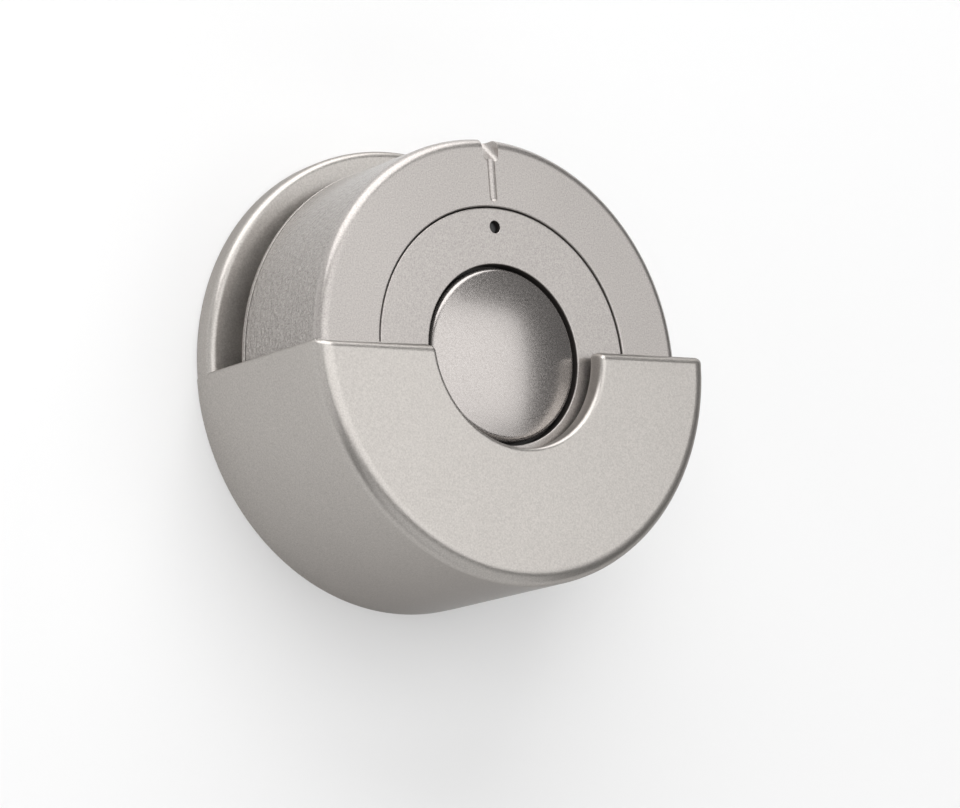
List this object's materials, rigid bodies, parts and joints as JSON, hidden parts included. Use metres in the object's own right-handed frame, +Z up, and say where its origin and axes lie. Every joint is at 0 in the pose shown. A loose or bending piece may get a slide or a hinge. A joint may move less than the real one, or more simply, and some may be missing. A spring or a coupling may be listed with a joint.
{
  "type": "remote control dimmer",
  "caption": "Round battery remote dimmer with a turning ring and a central push button, standing in a round wall holder with a half-round pocket and a finger cut-out.",
  "frame": {"origin": "centre of the holder's back face, on the wall", "axes": "+Z up the wall, -Y out of the wall towards the user, +X to the right as seen by the user"},
  "size_m": [0.064, 0.0289, 0.064],
  "materials": {
    "holder_paint": "fine metallic lacquer on moulded ABS, satin",
    "ring_paint": "fine metallic lacquer on moulded ABS, spark-eroded side",
    "disc_paint": "fine metallic lacquer on moulded ABS, satin",
    "button_paint": "fine metallic lacquer on moulded ABS, satin",
    "housing_paint": "fine metallic lacquer on moulded ABS, satin",
    "cover_paint": "fine metallic lacquer on moulded ABS, satin",
    "seal_rubber": "smooth",
    "cell_steel": "polished",
    "contact_gold": "plated",
    "black_abs": "moulded",
    "black_acetal": "moulded",
    "magnet": "matt",
    "natural_acetal": "moulded",
    "spring_steel": "drawn",
    "switch_steel": "tinned",
    "board_green": "solder resist",
    "shield_tin": "tinned",
    "chip_black": "moulded",
    "ceramic_tan": "fired",
    "led_white": "moulded",
    "clear_acrylic": "polished",
    "screw_steel": "zinc plated"
  },
  "bodies": {
    "holder": {"wall_holder": "holder_paint"},
    "remote": {"rear_housing": "housing_paint", "coin_cell": "cell_steel", "cell_contact_plus": "contact_gold", "cell_contact_minus": "contact_gold", "chassis": "black_abs", "front_disc": "disc_paint", "detent_spring": "spring_steel", "button_spring": "spring_steel", "tact_switch": "switch_steel", "circuit_board": "board_green", "radio_module": "shield_tin", "antenna": "contact_gold", "microcontroller": "chip_black", "crystal": "shield_tin", "capacitors": "ceramic_tan", "hall_sensor": "chip_black", "status_led": "led_white", "light_pipe": "clear_acrylic", "case_screws": "screw_steel", "board_screws": "screw_steel"},
    "ring": {"dimmer_ring": "ring_paint", "ring_retainer": "black_acetal", "code_magnet": "magnet", "glide_washer": "natural_acetal"},
    "button": {"button_cap": "button_paint", "switch_plunger": "natural_acetal"},
    "cover": {"battery_cover": "cover_paint", "cover_seal": "seal_rubber"}
  },
  "joints": [
    {"name": "remote_lift", "type": "slide", "parent": "holder", "child": "remote", "axis": [0, 0, 1], "range_m": [0, 0.065]},
    {"name": "ring_turn", "type": "hinge", "parent": "remote", "child": "ring", "pos_m": [0, -0.0165, -0.00055], "axis": [0, -1, 0], "continuous": true, "deforming": ["detent_spring"]},
    {"name": "button_press", "type": "slide", "parent": "remote", "child": "button", "axis": [0, 1, 0], "range_m": [0, 0.0005], "stiffness_N_per_m": 1500, "springref_m": -0.0004, "deforming": ["button_spring"]},
    {"name": "cover_turn", "type": "hinge", "parent": "remote", "child": "cover", "pos_m": [0, -0.0045, -0.00055], "axis": [0, -1, 0], "range_deg": [0, 40]}
  ]
}
